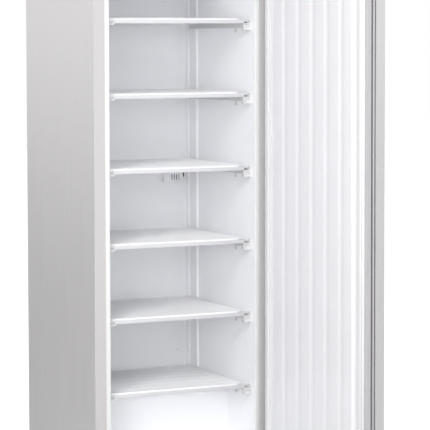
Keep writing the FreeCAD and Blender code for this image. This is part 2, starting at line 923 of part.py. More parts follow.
def hinge_bracket(leg_span, plate_low, pin_span):
    """Upright leg on the cabinet front, level plate under or over the door, and the pin."""
    left = cabinet_width - hinge_leg_width
    leg = box((left, -hinge_plate, leg_span[0]), (cabinet_width - hinge_leg_inset, 0, leg_span[1]))
    outline = [
        (left, 0), (cabinet_width, 0), (cabinet_width, hinge_y - hinge_side),
        (hinge_x - hinge_side, hinge_y - hinge_nose), (left, -hinge_nose),
    ]
    plate = face_xy(outline, plate_low).extrude(Vector(0, 0, hinge_plate))
    pin_size = pin_span[1] - pin_span[0]
    pin = Part.makeCylinder(pin_radius, pin_size, Vector(hinge_x, hinge_y, pin_span[0]))
    return joined([leg, plate, pin])


def screw_head(x, z, y):
    corners = []
    for index in range(6):
        angle = index * math.pi / 3
        corners.append((x + screw_head_radius * math.cos(angle), z + screw_head_radius * math.sin(angle)))
    return face_xz(corners, y).extrude(Vector(0, -screw_head_height, 0))


def hinges():
    low_leg = (plinth_leg_top - hinge_leg_height, plinth_leg_top)
    high_leg = (top_leg_low, top_leg_low + hinge_leg_height)
    pin = (plinth_leg_top, plinth_leg_top + pin_length)
    shapes["bottom_hinge_bracket"] = hinge_bracket(low_leg, plinth_leg_top - hinge_plate, pin)
    pin = (top_leg_low - pin_length, top_leg_low)
    shapes["top_hinge_bracket"] = hinge_bracket(high_leg, top_leg_low, pin)
    heads = []
    for x in (cabinet_width - hinge_leg_width + screw_rows[0], cabinet_width - screw_rows[0]):
        for row in screw_rows:
            heads.append(screw_head(x, low_leg[0] + row - screw_head_radius, -hinge_plate))
            heads.append(screw_head(x, high_leg[1] - row + screw_head_radius, -hinge_plate))
    shapes["hinge_screws"] = group(heads)


def fascia():
    """Cover over the door with the controller, its display and its buttons."""
    shell = box((0, door_face, fascia_low), (cabinet_width, 0, cabinet_height))
    upright = edges_along(shell, up, lambda p: p.y < door_face + 0.1)
    shell = shell.makeFillet(2 * bend_radius, upright)
    hollow = box(
        (fascia_wall, door_face + fascia_wall, fascia_low + fascia_wall),
        (cabinet_width - fascia_wall, 1, cabinet_height - fascia_wall),
    )
    notch = box(
        (cabinet_width - hinge_leg_width - hinge_plate / 2, -2 * hinge_plate, fascia_low - 1),
        (cabinet_width - fascia_wall, 1, fascia_low + 2 * fascia_wall),
    )
    window = box(
        (controller_left, door_face - 1, controller_low),
        (controller_left + controller_width, door_face + 2 * fascia_wall, controller_low + controller_height),
    )
    shapes["fascia"] = shell.cut([hollow, notch, window])

    left = controller_left
    body = box(
        (left, door_face, controller_low),
        (left + controller_width, door_face + controller_depth, controller_low + controller_height),
    )
    rim = box(
        (left - bezel_rim, door_face - bezel_proud, controller_low - bezel_rim),
        (
            left + controller_width + bezel_rim,
            door_face,
            controller_low + controller_height + bezel_rim,
        ),
    )
    rim = rim.makeFillet(bezel_rim / 2, edges_along(rim, Vector(0, 1, 0), lambda p: True))
    middle = controller_low + controller_height / 2
    glass_low = (left + display_left, door_face - bezel_proud, middle - display_height / 2)
    glass_high = (left + display_left + display_width, door_face + bezel_proud, middle + display_height / 2)
    recess = box(glass_low, glass_high)
    window = box((glass_low[0], glass_low[1] + display_recess, glass_low[2]), glass_high)
    sockets = []
    for index in range(button_count):
        x = left + button_offset + button_pitch * index - button_pitch / 2
        half = button_size / 2
        face_y = door_face - bezel_proud
        well_depth = button_length - button_proud + button_travel + button_clearance
        sockets.append(
            box(
                (x - half - button_clearance, face_y - 1, middle - half - button_clearance),
                (x + half + button_clearance, face_y + well_depth, middle + half + button_clearance),
            )
        )
        cap = box(
            (x - half, face_y - button_proud, middle - half),
            (x + half, face_y - button_proud + button_length, middle + half),
        )
        rounded = edges_along(cap, Vector(0, 1, 0), lambda p: True)
        shapes["controller_button_%d" % (index + 1)] = cap.makeFillet(bend_radius, rounded)
    bezel = joined([body, rim]).cut([recess] + sockets)
    shapes["controller_bezel"] = bezel
    shapes["display_window"] = window


def raised_field(inset):
    """The raised part of the door liner, with level grooves running from top to bottom."""
    base = -door_gap - door_liner_wall
    crest = -door_gap + field_height - inset
    left = field_side + inset
    right = cabinet_width - field_side - inset
    plan = [(left, base), (left + field_draft, crest)]
    middle = cabinet_width / 2
    valley = crest - groove_depth
    for index in range(groove_count):
        x = middle + (index - (groove_count - 1) / 2) * groove_pitch
        half = groove_width / 2 + inset
        plan += [
            (x - half, crest),
            (x - half + groove_draft, valley),
            (x + half - groove_draft, valley),
            (x + half, crest),
        ]
    plan += [(right - field_draft, crest), (right, base)]
    low = door_bottom + field_end + inset
    high = door_top - field_end - inset
    body = face_xy(plan, low).extrude(Vector(0, 0, high - low))
    side = [(base, low), (crest, low + field_draft), (crest, high - field_draft), (base, high)]
    limits = face_yz(side, 0).extrude(Vector(cabinet_width, 0, 0))
    return body.common(limits)


def door_shell():
    low = door_bottom + cap_thickness
    high = door_top - cap_thickness
    height = Vector(0, 0, high - low)
    half = sheet / 2
    free_edge = channel_front - grip_sheet - seam
    line = [
        (half, free_edge), (half, door_face + half), (cabinet_width - half, door_face + half),
        (cabinet_width - half, -door_gap - half), (cabinet_width - inner_return, -door_gap - half),
    ]
    skin = folded_section(line, sheet, bend_radius)
    skin.translate(Vector(0, 0, low))
    shapes["door_skin"] = skin.extrude(height)

    half = grip_sheet / 2
    outer_wall = channel_front - half
    inner_wall = channel_back + half
    line = [
        (0, outer_wall), (grip_depth + half, outer_wall), (grip_depth + half, inner_wall),
        (half, inner_wall), (half, -door_gap - half), (inner_return, -door_gap - half),
    ]
    profile = folded_section(line, grip_sheet, bend_radius / 2)
    profile.translate(Vector(0, 0, low))
    shapes["door_edge_profile"] = profile.extrude(height)

    plate = box(
        (inner_return, -door_gap - door_liner_wall, low),
        (cabinet_width - inner_return, -door_gap, high),
    )
    core = raised_field(door_liner_wall)
    shapes["door_liner"] = joined([plate, raised_field(0)]).cut(core)

    # the foam is three blocks, so that the grip channel stays open between two of them
    behind = -door_gap - door_liner_wall
    beside_grip = grip_depth + grip_sheet
    right = cabinet_width - sheet
    main = box((beside_grip, door_face + sheet, low), (right, behind, high))
    main = main.makeFillet(corner_room, edges_along(main, up, lambda p: p.x > right - 0.1))
    outer_strip = box((sheet, door_face + sheet, low), (beside_grip, channel_front - grip_sheet, high))
    skin_bend = edges_along(
        outer_strip, up, lambda p: p.x < sheet + 0.1 and p.y < door_face + sheet + 0.1
    )
    outer_strip = outer_strip.makeFillet(corner_room, skin_bend)
    inner_strip = box((grip_sheet, channel_back + grip_sheet, low), (beside_grip, behind, high))
    grip_bend = edges_along(
        inner_strip, up, lambda p: p.x < grip_sheet + 0.1 and p.y < channel_back + grip_sheet + 0.1
    )
    inner_strip = inner_strip.makeFillet(corner_room, grip_bend)
    shapes["door_foam"] = group([joined([main, core]), outer_strip, inner_strip])


def door_caps():
    """End caps of the door, with the grip channel running through them."""
    outline = [
        (0, door_face), (cabinet_width, door_face), (cabinet_width, -door_gap), (0, -door_gap),
        (0, channel_back), (grip_depth, channel_back), (grip_depth, channel_front), (0, channel_front),
    ]
    seat = pin_radius + bush_clearance + bush_wall + bush_seat_clearance
    for name, low in (("door_bottom_cap", door_bottom), ("door_top_cap", door_top - cap_thickness)):
        cap = face_xy(outline, low).extrude(Vector(0, 0, cap_thickness))
        corners = edges_along(cap, up, lambda p: abs(p.y - door_face) < 0.1)
        cap = cap.makeFillet(bend_radius + sheet, corners)
        hole = Part.makeCylinder(seat, cap_thickness + 2, Vector(hinge_x, hinge_y, low - 1))
        shapes[name] = cap.cut(hole)


def hinge_bushes():
    """Flanged bushes in the caps: the lower one carries the door, the upper one only guides it."""
    bore = pin_radius + bush_clearance
    radius = bore + bush_wall
    bushes = (
        ("bottom_hinge_bush", door_bottom, up, hinge_gap),
        ("top_hinge_bush", door_top, -up, hinge_gap - thrust_clearance),
    )
    for name, level, into, flange_height in bushes:
        face = Vector(hinge_x, hinge_y, level)
        sleeve = Part.makeCylinder(radius, bush_length, face, into)
        flange = Part.makeCylinder(bush_flange, flange_height, face, -into)
        hole = Part.makeCylinder(bore, bush_length + 3 * hinge_gap, face - into * (1.5 * hinge_gap), into)
        shapes[name] = joined([sleeve, flange]).cut(hole)


def gasket():
    """Magnetic seal: a flat foot, a folded bellows and the magnet pocket, run round the door."""
    height = door_gap - gasket_clearance
    near = pocket_side
    far = pocket_side + pocket_width
    waist = (near + far) / 2
    section = [
        (0, 0), (gasket_width, 0), (gasket_width, gasket_foot),
        (far - gasket_foot, waist_height - fold_rise), (waist + waist_width / 2, waist_height),
        (far, waist_height + fold_rise), (far, height), (near, height),
        (near, waist_height + fold_rise), (waist - waist_width / 2, waist_height),
        (near + gasket_foot, waist_height - fold_rise), (0, gasket_foot),
    ]
    left = gasket_inset
    right = cabinet_width - gasket_inset
    low = door_bottom + gasket_inset
    high = door_top - gasket_inset
    middle = cabinet_width / 2
    corners = [(middle, low), (right, low), (right, high), (left, high), (left, low), (middle, low)]
    path = Part.makePolygon([Vector(x, -door_gap, z) for x, z in corners])
    profile = [Vector(middle, -door_gap + rise, low + across) for across, rise in section]
    outline = Part.makePolygon(profile + profile[:1])
    shapes["door_gasket"] = path.makePipeShell([outline], True, False, 1)


def feet():
    nuts = []
    bore = stem_radius + stem_clearance
    rim = foot_height / 4
    for name, x in (("left_foot", foot_side), ("right_foot", cabinet_width - foot_side)):
        shapes[name] = many_sided(x, foot_back, [
            (foot_radius, 0), (foot_radius, foot_height - rim), (foot_radius - rim, foot_height),
            (stem_radius, foot_height), (stem_radius, stem_top),
        ], foot_sides)
        nut = prism(x, foot_back, nut_radius - nut_clearance, foam_low, foam_low + nut_height, 6)
        nuts.append(nut.cut(prism(x, foot_back, bore, floor_clearance, foot_well_top, foot_sides)))
    shapes["foot_nuts"] = group(nuts)


def rollers():
    brackets = []
    axles = []
    y = cabinet_depth - roller_back
    gap = roller_width / 2 + roller_side_gap
    for name, x in (("left_roller", roller_side), ("right_roller", cabinet_width - roller_side)):
        centre = Vector(x - roller_width / 2, y, roller_radius)
        wheel = Part.makeCylinder(roller_radius, roller_width, centre, Vector(1, 0, 0))
        bore = Part.makeCylinder(axle_radius + axle_clearance, roller_width, centre, Vector(1, 0, 0))
        shapes[name] = wheel.cut(bore)
        plate_low = floor_clearance - ear_thickness
        reach = gap + ear_thickness
        near = (x - reach, y - ear_reach * 2, plate_low)
        plate = box(near, (x + reach, y + ear_reach * 2, floor_clearance))
        pieces = [plate]
        ear = [
            (y - ear_reach * 2, plate_low), (y - ear_reach, roller_radius - ear_reach + axle_radius),
            (y + ear_reach, roller_radius - ear_reach + axle_radius), (y + ear_reach * 2, plate_low),
        ]
        for start in (x - reach, x + gap):
            pieces.append(face_yz(ear, start).extrude(Vector(ear_thickness, 0, 0)))
        long_axle = 2 * reach + 2 * ear_thickness
        axle_start = Vector(x - long_axle / 2, y, roller_radius)
        axle = Part.makeCylinder(axle_radius, long_axle, axle_start, Vector(1, 0, 0))
        brackets.append(joined(pieces).cut(axle))
        axles.append(axle)
    shapes["roller_brackets"] = group(brackets)
    shapes["roller_axles"] = group(axles)


def build_all():
    side_panels()
    flat_panels()
    opening_frame()
    foam(liner())
    shelves()
    shelf_fixings()
    back_wall_fittings()
    base_and_grilles()
    machine()
    condenser()
    hinges()
    fascia()
    door_shell()
    door_caps()
    hinge_bushes()
    gasket()
    feet()
    rollers()


build_all()
door_nodes = [
    "door_skin", "door_edge_profile", "door_liner", "door_foam", "door_bottom_cap",
    "door_top_cap", "bottom_hinge_bush", "top_hinge_bush", "door_gasket",
]
for name in door_nodes:
    shapes[name].rotate(hinge_point, up, open_angle)

whole = FreeCAD.BoundBox()
for shape in shapes.values():
    whole.add(shape.optimalBoundingBox(False))
shift = Vector(-(whole.XMin + whole.XMax) / 2, -(whole.YMin + whole.YMax) / 2, 0)
for name, shape in shapes.items():
    placed = shape.translated(shift)
    placed.exportStep("parts/%s.step" % name)
print("pieces", len(shapes), "solids", sum(len(s.Solids) for s in shapes.values()))
print("shift", round(shift.x, 4), round(shift.y, 4))
print("box", [round(v, 2) for v in (whole.XLength, whole.YLength, whole.ZMin, whole.ZMax)])
for name, shape in sorted(shapes.items()):
    if not shape.isValid() or any(s.Volume <= 0 for s in shape.Solids) or not shape.Solids:
        print("check", name, shape.isValid(), len(shape.Solids), shape.ShapeType)
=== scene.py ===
import json
import math

import bmesh
import bpy
from mathutils import Matrix, Vector


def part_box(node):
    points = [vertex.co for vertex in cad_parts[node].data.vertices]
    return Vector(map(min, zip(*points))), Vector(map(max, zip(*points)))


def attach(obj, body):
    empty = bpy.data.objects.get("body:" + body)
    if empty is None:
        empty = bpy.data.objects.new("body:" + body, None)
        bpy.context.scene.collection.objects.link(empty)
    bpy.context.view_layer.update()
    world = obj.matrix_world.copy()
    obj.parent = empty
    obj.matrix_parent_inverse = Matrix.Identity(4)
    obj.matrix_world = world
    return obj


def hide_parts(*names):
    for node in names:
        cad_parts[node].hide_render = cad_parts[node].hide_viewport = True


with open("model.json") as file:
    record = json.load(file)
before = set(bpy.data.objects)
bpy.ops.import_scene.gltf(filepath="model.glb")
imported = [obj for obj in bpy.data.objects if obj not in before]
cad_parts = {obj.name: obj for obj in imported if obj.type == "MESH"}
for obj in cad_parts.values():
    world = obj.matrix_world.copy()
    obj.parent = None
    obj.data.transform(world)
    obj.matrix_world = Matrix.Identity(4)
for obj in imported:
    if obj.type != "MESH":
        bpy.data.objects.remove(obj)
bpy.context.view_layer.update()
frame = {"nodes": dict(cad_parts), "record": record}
nodes = frame["nodes"]
print("frame loaded", len(nodes))

# everything is placed from the cabinet's front left corner, in metres
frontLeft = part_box("left_side_panel")[0].copy()
frontLeft.z = 0.0


def place(x, y, z):
    return frontLeft + Vector((x, y, z))


def tone(red, green, blue):
    def linear(value):
        share = value / 255
        return share / 12.92 if share <= 0.04045 else ((share + 0.055) / 1.055) ** 2.4
    return (linear(red), linear(green), linear(blue), 1.0)


def newFinish(name, colour, roughness, metallic=0.0):
    finish = bpy.data.materials.new(name)
    finish.use_nodes = True
    shader = finish.node_tree.nodes["Principled BSDF"]
    shader.inputs["Base Color"].default_value = colour
    shader.inputs["Roughness"].default_value = roughness
    shader.inputs["Metallic"].default_value = metallic
    return finish, finish.node_tree, shader


even = (1, 1, 1)
usualNoise = (0.3, 0.7)


def objectNoise(tree, stretch, scale, detail):
    where = tree.nodes.new("ShaderNodeTexCoord")
    turn = tree.nodes.new("ShaderNodeMapping")
    turn.inputs["Scale"].default_value = stretch
    noise = tree.nodes.new("ShaderNodeTexNoise")
    noise.inputs["Scale"].default_value = scale
    noise.inputs["Detail"].default_value = detail
    tree.links.new(where.outputs["Object"], turn.inputs["Vector"])
    tree.links.new(turn.outputs["Vector"], noise.inputs["Vector"])
    return noise.outputs["Fac"]


def spread(tree, source, low, high):
    ramp = tree.nodes.new("ShaderNodeMapRange")
    ramp.inputs["From Min"].default_value = usualNoise[0]
    ramp.inputs["From Max"].default_value = usualNoise[1]
    ramp.inputs["To Min"].default_value = low
    ramp.inputs["To Max"].default_value = high
    tree.links.new(source, ramp.inputs["Value"])
    return ramp.outputs["Result"]


def shadeBy(tree, shader, source, colour, amount):
    # the colour a little darker and lighter where the pattern says
    mix = tree.nodes.new("ShaderNodeMix")
    mix.data_type = "RGBA"
    mix.inputs["A"].default_value = [c * (1 - amount) for c in colour[:3]] + [1.0]
    mix.inputs["B"].default_value = [min(1.0, c * (1 + amount)) for c in colour[:3]] + [1.0]
    tree.links.new(spread(tree, source, 0.0, 1.0), mix.inputs["Factor"])
    tree.links.new(mix.outputs["Result"], shader.inputs["Base Color"])


def bumpBy(tree, shader, source, depth, strength):
    bump = tree.nodes.new("ShaderNodeBump")
    bump.inputs["Strength"].default_value = strength
    bump.inputs["Distance"].default_value = depth
    tree.links.new(source, bump.inputs["Height"])
    tree.links.new(bump.outputs["Normal"], shader.inputs["Normal"])


metalLook = {
    "brushScale": 320.0,
    "brushDetail": 4.0,
    "brushDepth": 0.00002,
    "brushStrength": 0.35,
    "leastRough": 0.85,
    "mostRough": 1.15,
    "skinMetallic": 0.7,
    "longBrush": (1, 1, 0.012),
    "edgeBrush": (1, 1, 0.02),
    "crossBrush": (0.05, 1, 1),
}


def brushedMetal(name, colour, roughness, stretch, grain, metallic=1.0):
    look = metalLook
    finish, tree, shader = newFinish(name, colour, roughness, metallic)
    lines = objectNoise(tree, stretch, look["brushScale"], look["brushDetail"])
    shadeBy(tree, shader, lines, colour, grain)
    streaks = spread(tree, lines, roughness * look["leastRough"], roughness * look["mostRough"])
    tree.links.new(streaks, shader.inputs["Roughness"])
    bumpBy(tree, shader, lines, look["brushDepth"], look["brushStrength"])
    return finish


plasticLook = {"mottleScale": 7.0, "detail": 2.0, "grainStrength": 0.5}


def mouldedPlastic(name, colour, roughness, grainScale=900.0, depth=0.00003, mottle=0.015):
    look = plasticLook
    finish, tree, shader = newFinish(name, colour, roughness)
    cloud = objectNoise(tree, even, look["mottleScale"], look["detail"])
    shadeBy(tree, shader, cloud, colour, mottle)
    grain = objectNoise(tree, even, grainScale, look["detail"])
    bumpBy(tree, shader, grain, depth, look["grainStrength"])
    return finish


paintLook = {
    "mottleScale": 5.0,
    "mottle": 0.02,
    "peelScale": 420.0,
    "peelStrength": 0.5,
    "detail": 2.0,
}


def paintedSteel(name, colour, roughness, depth=0.00006):
    # the slight orange peel of a powder coat
    look = paintLook
    finish, tree, shader = newFinish(name, colour, roughness)
    cloud = objectNoise(tree, even, look["mottleScale"], look["detail"])
    shadeBy(tree, shader, cloud, colour, look["mottle"])
    peel = objectNoise(tree, even, look["peelScale"], look["detail"])
    bumpBy(tree, shader, peel, depth, look["peelStrength"])
    return finish


sheetLook = {"waveScale": 9.0, "detail": 2.0, "mottle": 0.01, "depth": 0.0012, "strength": 0.25}


def formedSheet(name, colour, roughness):
    # vacuum formed plastic has long soft waves
    look = sheetLook
    finish, tree, shader = newFinish(name, colour, roughness)
    waves = objectNoise(tree, even, look["waveScale"], look["detail"])
    shadeBy(tree, shader, waves, colour, look["mottle"])
    bumpBy(tree, shader, waves, look["depth"], look["strength"])
    return finish


foamLook = {
    "roughness": 0.9,
    "cellScale": 500.0,
    "detail": 5.0,
    "mottle": 0.12,
    "depth": 0.0006,
    "strength": 0.8,
}


def foamBlock(name, colour):
    look = foamLook
    finish, tree, shader = newFinish(name, colour, look["roughness"])
    cells = objectNoise(tree, even, look["cellScale"], look["detail"])
    shadeBy(tree, shader, cells, colour, look["mottle"])
    bumpBy(tree, shader, cells, look["depth"], look["strength"])
    return finish


longBrush = metalLook["longBrush"]
skinMetallic = metalLook["skinMetallic"]
finishes = {
    "cabinet_steel": brushedMetal(
        "cabinetSteel", tone(222, 220, 221), 0.42, longBrush, 0.04, skinMetallic),
    "door_steel": brushedMetal(
        "doorSteel", tone(216, 215, 216), 0.40, longBrush, 0.04, skinMetallic),
    "edge_metal": brushedMetal(
        "edgeMetal", tone(208, 207, 209), 0.45, metalLook["edgeBrush"], 0.03, skinMetallic),
    "back_steel": brushedMetal("backSteel", tone(196, 197, 200), 0.50, even, 0.05),
    "trim_white": mouldedPlastic("trimWhite", tone(225, 225, 225), 0.35),
    "liner_white": formedSheet("linerWhite", tone(246, 247, 250), 0.38),
    "door_liner_white": formedSheet("doorLinerWhite", tone(236, 236, 239), 0.36),
    "foam": foamBlock("foam", tone(226, 208, 150)),
    "tube_white": paintedSteel("tubeWhite", tone(250, 250, 251), 0.35),
    "wire_white": paintedSteel("wireWhite", tone(250, 250, 251), 0.35),
    "strip_plastic": mouldedPlastic("stripPlastic", tone(204, 204, 207), 0.38),
    "clip_plastic": mouldedPlastic("clipPlastic", tone(214, 214, 215), 0.35),
    "gasket_rubber": mouldedPlastic("gasketRubber", tone(226, 226, 227), 0.55, grainScale=500.0),
    "cap_plastic": mouldedPlastic("capPlastic", tone(190, 191, 193), 0.45),
    "hinge_steel": brushedMetal(
        "hingeSteel", tone(188, 188, 190), 0.35, metalLook["crossBrush"], 0.05),
    "bush_plastic": mouldedPlastic("bushPlastic", tone(225, 225, 220), 0.45),
    "bezel_plastic": mouldedPlastic("bezelPlastic", tone(52, 54, 58), 0.40),
    "display_glass": mouldedPlastic(
        "displayGlass", tone(14, 15, 18), 0.08, grainScale=40.0, depth=0.00001, mottle=0.0),
    "button_plastic": mouldedPlastic("buttonPlastic", tone(196, 198, 201), 0.40),
    "plinth_plastic": mouldedPlastic("plinthPlastic", tone(70, 72, 75), 0.50),
    "compressor_paint": paintedSteel("compressorPaint", tone(32, 33, 35), 0.35, depth=0.0001),
    "mount_rubber": mouldedPlastic(
        "mountRubber", tone(38, 38, 40), 0.75, grainScale=300.0, depth=0.0001),
    "copper": brushedMetal("copper", tone(206, 134, 98), 0.32, even, 0.10),
    "terminal_plastic": mouldedPlastic("terminalPlastic", tone(60, 61, 63), 0.55),
    "condenser_paint": paintedSteel("condenserPaint", tone(42, 43, 46), 0.45, depth=0.00008),
    "cable_black": mouldedPlastic("cableBlack", tone(40, 41, 44), 0.50),
    "foot_plastic": mouldedPlastic("footPlastic", tone(58, 58, 60), 0.55),
    "roller_nylon": mouldedPlastic("rollerNylon", tone(206, 204, 196), 0.50),
    "plated_steel": brushedMetal("platedSteel", tone(196, 198, 202), 0.30, even, 0.06),
}

flangeLook = {
    "colour": tone(190, 188, 189),
    "metallic": 0.0,
    "fadeFrom": 0.0020,
    "fadeTo": 0.0012,
}


def satinFlange(finish):
    # the folded front flanges show the plain satin of the sheet, the sides its long brushing
    tree = finish.node_tree
    shader = tree.nodes["Principled BSDF"]
    where = tree.nodes.new("ShaderNodeTexCoord")
    split = tree.nodes.new("ShaderNodeSeparateXYZ")
    tree.links.new(where.outputs["Object"], split.inputs["Vector"])
    share = tree.nodes.new("ShaderNodeMapRange")
    share.inputs["From Min"].default_value = frontLeft.y + flangeLook["fadeFrom"]
    share.inputs["From Max"].default_value = frontLeft.y + flangeLook["fadeTo"]
    tree.links.new(split.outputs["Y"], share.inputs["Value"])
    brushed = shader.inputs["Base Color"].links[0].from_socket
    mix = tree.nodes.new("ShaderNodeMix")
    mix.data_type = "RGBA"
    mix.inputs["B"].default_value = flangeLook["colour"]
    tree.links.new(share.outputs["Result"], mix.inputs["Factor"])
    tree.links.new(brushed, mix.inputs["A"])
    tree.links.new(mix.outputs["Result"], shader.inputs["Base Color"])
    metal = tree.nodes.new("ShaderNodeMapRange")
    metal.inputs["To Min"].default_value = shader.inputs["Metallic"].default_value
    metal.inputs["To Max"].default_value = flangeLook["metallic"]
    tree.links.new(share.outputs["Result"], metal.inputs["Value"])
    tree.links.new(metal.outputs["Result"], shader.inputs["Metallic"])


satinFlange(finishes["cabinet_steel"])

for entry in frame["record"]["subparts"]:
    for materialSlot in nodes[entry["node"]].material_slots:
        materialSlot.material = finishes[entry["material_slot"]]
print("finishes on the frame")


# a face looks along an axis when its normal has this share of it, and it lies in a plane when its
# centre is this near
facing = 0.9
sameLevel = 0.0001


def clearAll():
    if bpy.context.object and bpy.context.object.mode != "OBJECT":
        bpy.ops.object.mode_set(mode="OBJECT")
    bpy.ops.object.select_all(action="DESELECT")


def makeActive(piece):
    clearAll()
    piece.select_set(True)
    bpy.context.view_layer.objects.active = piece


def setOrigin(piece):
    makeActive(piece)
    bpy.ops.object.transform_apply(location=True, rotation=True, scale=True)


def newBlock(name, low, high):
    clearAll()
    middle = [(a + b) / 2 for a, b in zip(low, high)]
    bpy.ops.mesh.primitive_cube_add(size=1, location=middle)
    block = bpy.context.object
    block.name = name
    block.scale = [b - a for a, b in zip(low, high)]
    setOrigin(block)
    return block


def pickFaces(piece, test):
    # into edit mode with only the faces that pass the test on centre and normal
    makeActive(piece)
    bpy.ops.object.mode_set(mode="EDIT")
    bpy.ops.mesh.select_mode(type="FACE")
    bpy.ops.mesh.select_all(action="DESELECT")
    mesh = bmesh.from_edit_mesh(piece.data)
    mesh.normal_update()
    for face in mesh.faces:
        face.select_set(test(face.calc_center_median(), face.normal))
    bmesh.update_edit_mesh(piece.data)


def cutAcross(piece, axis, places):
    # cuts right through the mesh, square to the axis
    makeActive(piece)
    bpy.ops.object.mode_set(mode="EDIT")
    for value in places:
        bpy.ops.mesh.select_all(action="SELECT")
        bpy.ops.mesh.bisect(plane_co=[value * share for share in axis], plane_no=axis)
    bpy.ops.object.mode_set(mode="OBJECT")


def applyAll(piece):
    makeActive(piece)
    for modifier in list(piece.modifiers):
        bpy.ops.object.modifier_apply(modifier=modifier.name)


def roundEdges(piece, width, segments=3, limit=30):
    makeActive(piece)
    bevel = piece.modifiers.new("edges", "BEVEL")
    bevel.width = width
    bevel.segments = segments
    bevel.limit_method = "ANGLE"
    bevel.angle_limit = math.radians(limit)
    applyAll(piece)


def copyBy(piece, name, offset):
    makeActive(piece)
    bpy.ops.object.duplicate()
    twin = bpy.context.object
    twin.name = name
    bpy.ops.transform.translate(value=offset)
    setOrigin(twin)
    return twin


def joinAs(pieces, name):
    clearAll()
    for piece in pieces:
        piece.select_set(True)
    bpy.context.view_layer.objects.active = pieces[0]
    bpy.ops.object.join()
    pieces[0].name = name
    return pieces[0]


def finishPiece(piece, body, slotName, replaced, smooth=35):
    setOrigin(piece)
    bpy.ops.object.shade_smooth_by_angle(angle=math.radians(smooth))
    piece.data.materials.clear()
    piece.data.materials.append(finishes[slotName])
    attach(piece, body)
    if replaced:
        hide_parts(*replaced)


def startTube(name, start, direction, radius, sides):
    clearAll()
    turn = Vector(direction).to_track_quat("Z", "Y").to_euler()
    bpy.ops.mesh.primitive_circle_add(vertices=sides, radius=radius, location=start, rotation=turn)
    tube = bpy.context.object
    tube.name = name
    setOrigin(tube)
    bpy.ops.object.mode_set(mode="EDIT")
    bpy.ops.mesh.select_mode(type="EDGE")
    bpy.ops.mesh.select_all(action="SELECT")
    return tube


def runTube(offset):
    bpy.ops.mesh.extrude_region_move(TRANSFORM_OT_translate={"value": offset})


def bendTube(centre, axis, degrees, steps):
    # counted anticlockwise about the axis, which spin takes the other way
    bpy.ops.mesh.spin(steps=steps, angle=-math.radians(degrees), center=centre, axis=axis)


def endTube():
    bpy.ops.mesh.select_all(action="SELECT")
    bpy.ops.mesh.fill_holes(sides=0)
    bpy.ops.mesh.normals_make_consistent(inside=False)
    bpy.ops.object.mode_set(mode="OBJECT")


nipShare = 0.3


def wireRow(centre, length, tilt, look, span):
    # one wire with nipped ends, tilted from upright about X, then more beside it over the span
    radius = look["wireRadius"]
    clearAll()
    bpy.ops.mesh.primitive_cylinder_add(
        vertices=look["wireSides"], radius=radius, depth=length,
        location=centre, rotation=(tilt, 0, 0),
    )
    wire = bpy.context.object
    setOrigin(wire)
    along = Vector((0, -math.sin(tilt), math.cos(tilt)))
    pickFaces(wire, lambda middle, normal: abs(normal.dot(along)) > facing)
    bpy.ops.mesh.inset(thickness=radius * nipShare, use_individual=True)
    bpy.ops.object.mode_set(mode="OBJECT")
    count = int(span / look["wirePitch"]) + 1
    row = wire.modifiers.new("row", "ARRAY")
    row.use_relative_offset = False
    row.use_constant_offset = True
    row.constant_offset_displace = (span / (count - 1), 0, 0)
    row.count = count
    applyAll(wire)
    return wire


tubeLook = {
    "shelves": 6,
    "sides": 12,
    "passes": 8,
    "bendSteps": 10,
    "firstFromBack": 0.052,
    "tailDrop": 0.022,
    "tailSpacing": 0.016,
    "turnFromLeft": 0.012,
    "longTail": 0.480,
    "shortTail": 0.385,
}


def evaporatorTube(node):
    low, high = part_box(node)
    radius = (high.z - low.z) / 2
    middle = (high.z + low.z) / 2
    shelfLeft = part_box("shelf_front_strips")[0].x
    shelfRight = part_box("shelf_front_strips")[1].x
    back = high.y
    firstY = back - tubeLook["firstFromBack"]
    lastY = low.y + radius
    pitch = (firstY - lastY) / (tubeLook["passes"] - 1)
    bend = pitch / 2
    left = shelfLeft + tubeLook["turnFromLeft"] + bend
    right = shelfRight - radius - bend
    drop = tubeLook["tailDrop"]
    longX = place(tubeLook["longTail"], 0, 0).x
    shortX = place(tubeLook["shortTail"], 0, 0).x
    returnX = low.x + radius
    small = drop / 2
    steps = tubeLook["bendSteps"]
    longY = firstY + drop
    shortY = longY + tubeLook["tailSpacing"]

    tube = startTube("shelfTube", (longX, back, middle), (0, -1, 0), radius, tubeLook["sides"])
    runTube((0, longY + small - back, 0))
    bendTube((longX - small, longY + small, middle), (0, 0, 1), -90, steps // 2)
    runTube((left - longX + small, 0, 0))
    bendTube((left, firstY + small, middle), (0, 0, 1), 180, steps)
    for index in range(1, tubeLook["passes"]):
        y = firstY - pitch * (index - 0.5)
        if index % 2:
            runTube((right - left, 0, 0))
            bendTube((right, y, middle), (0, 0, 1), -180, steps)
        else:
            runTube((left - right, 0, 0))
            bendTube((left, y, middle), (0, 0, 1), 180, steps)
    runTube((returnX + small - right, 0, 0))
    bendTube((returnX + small, lastY + small, middle), (0, 0, 1), -90, steps // 2)
    runTube((0, shortY - lastY - drop, 0))
    bendTube((returnX + small, shortY - small, middle), (0, 0, 1), -90, steps // 2)
    runTube((shortX - returnX - drop, 0, 0))
    bendTube((shortX - small, shortY + small, middle), (0, 0, 1), 90, steps // 2)
    runTube((0, back - shortY - small, 0))
    endTube()
    return tube


tubeNodes = ["evaporator_tube_%d" % (index + 1) for index in range(tubeLook["shelves"])]
shelfBoxes = [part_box(name) for name in tubeNodes]


def liftTo(index):
    return Vector((0, 0, shelfBoxes[index][0].z - shelfBoxes[0][0].z))


def onEveryShelf(piece, name):
    # the piece stands on the lowest shelf, and each other shelf gets a copy
    copies = [copyBy(piece, "copy", liftTo(index)) for index in range(1, len(shelfBoxes))]
    return joinAs([piece] + copies, name)


